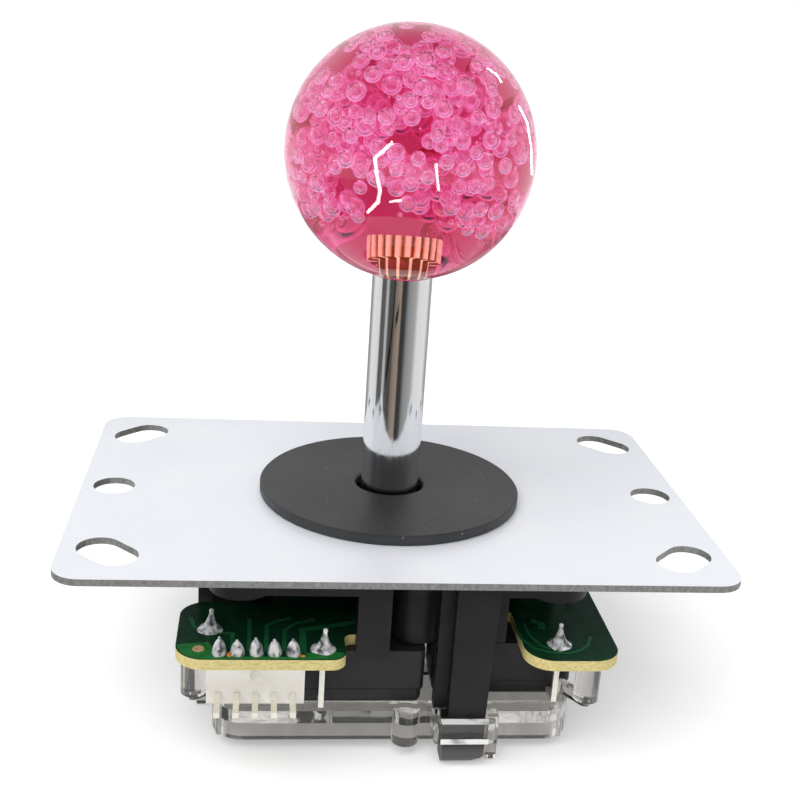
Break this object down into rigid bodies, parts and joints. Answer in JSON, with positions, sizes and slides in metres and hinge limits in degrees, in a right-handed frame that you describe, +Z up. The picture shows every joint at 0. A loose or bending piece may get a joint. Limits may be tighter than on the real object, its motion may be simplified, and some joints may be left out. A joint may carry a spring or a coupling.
{
  "type": "arcade joystick lever",
  "caption": "Arcade joystick lever: a clear pink bubble ball on a chromed shaft, a slotted steel mounting plate, and microswitches on a circuit board under it.",
  "frame": {"origin": "middle of the mounting plate's top face, on the lever's axis", "axes": "+Z up the lever, X along the plate's long side, -Y to the front, where the connector is"},
  "size_m": [0.095, 0.0676, 0.1008],
  "materials": {
    "zinc_steel": "bright zinc plate with fine specks",
    "screw_steel": "zinc-plated screw",
    "washer_grey": "fine matte texture",
    "black_plastic": "moulded, satin",
    "switch_plastic": "moulded, satin",
    "board_green": "solder mask over copper traces",
    "solder": "bright concave solder",
    "header_white": "off-white nylon",
    "pin_tin": "tin-plated brass",
    "clear_plastic": "clear polycarbonate",
    "shaft_chrome": "polished chrome",
    "pivot_plastic": "white acetal",
    "spring_steel": "plain spring steel",
    "actuator_plastic": "black acetal",
    "clip_steel": "blackened steel",
    "insert_brass": "knurled brass",
    "pink_plastic": "clear cast resin full of air bubbles",
    "plunger_plastic": "off-white acetal"
  },
  "bodies": {
    "base": {"mounting_plate": "zinc_steel", "plate_screws": "screw_steel", "dust_washer": "washer_grey", "main_body": "black_plastic", "circuit_board": "board_green", "solder_joints": "solder", "connector_housing": "header_white", "connector_pins": "pin_tin", "restrictor_gate": "clear_plastic", "switch_case_front": "switch_plastic", "switch_case_right": "switch_plastic", "switch_case_back": "switch_plastic", "switch_case_left": "switch_plastic", "switch_cover_front": "switch_plastic", "switch_cover_right": "switch_plastic", "switch_cover_back": "switch_plastic", "switch_cover_left": "switch_plastic", "switch_terminals_front": "pin_tin", "switch_terminals_right": "pin_tin", "switch_terminals_back": "pin_tin", "switch_terminals_left": "pin_tin"},
    "spring": {"centring_spring": "spring_steel"},
    "rocker": {"pivot": "pivot_plastic", "spring_seat": "spring_steel", "actuator": "actuator_plastic"},
    "lever": {"lever_shaft": "shaft_chrome", "ball_insert": "insert_brass", "ball_top": "pink_plastic", "retaining_clip": "clip_steel"},
    "plunger_front": {"switch_plunger_front": "plunger_plastic"},
    "plunger_right": {"switch_plunger_right": "plunger_plastic"},
    "plunger_back": {"switch_plunger_back": "plunger_plastic"},
    "plunger_left": {"switch_plunger_left": "plunger_plastic"}
  },
  "joints": [
    {"name": "tilt_front_back", "type": "hinge", "parent": "base", "child": "spring", "pos_m": [0, 0, -0.0015], "axis": [1, 0, 0], "range_deg": [-8, 8], "stiffness_Nm_per_rad": 0.6, "deforming": ["centring_spring"]},
    {"name": "tilt_left_right", "type": "hinge", "parent": "spring", "child": "rocker", "pos_m": [0, 0, -0.0015], "axis": [0, 1, 0], "range_deg": [-8, 8], "stiffness_Nm_per_rad": 0.6, "deforming": ["centring_spring"]},
    {"name": "lever_spin", "type": "hinge", "parent": "rocker", "child": "lever", "pos_m": [0, 0, -0.0015], "axis": [0, 0, 1], "continuous": true},
    {"name": "press_front", "type": "slide", "parent": "base", "child": "plunger_front", "axis": [0, 1, 0], "range_m": [-0.0015, 0.0015]},
    {"name": "press_right", "type": "slide", "parent": "base", "child": "plunger_right", "axis": [1, 0, 0], "range_m": [-0.0015, 0.0015]},
    {"name": "press_back", "type": "slide", "parent": "base", "child": "plunger_back", "axis": [0, 1, 0], "range_m": [-0.0015, 0.0015]},
    {"name": "press_left", "type": "slide", "parent": "base", "child": "plunger_left", "axis": [1, 0, 0], "range_m": [-0.0015, 0.0015]}
  ],
  "couplings": [
    {"joint": "press_front", "follows": "tilt_front_back", "m_per_rad": 0.0107},
    {"joint": "press_right", "follows": "tilt_left_right", "m_per_rad": -0.0107},
    {"joint": "press_back", "follows": "tilt_front_back", "m_per_rad": 0.0107},
    {"joint": "press_left", "follows": "tilt_left_right", "m_per_rad": -0.0107}
  ]
}
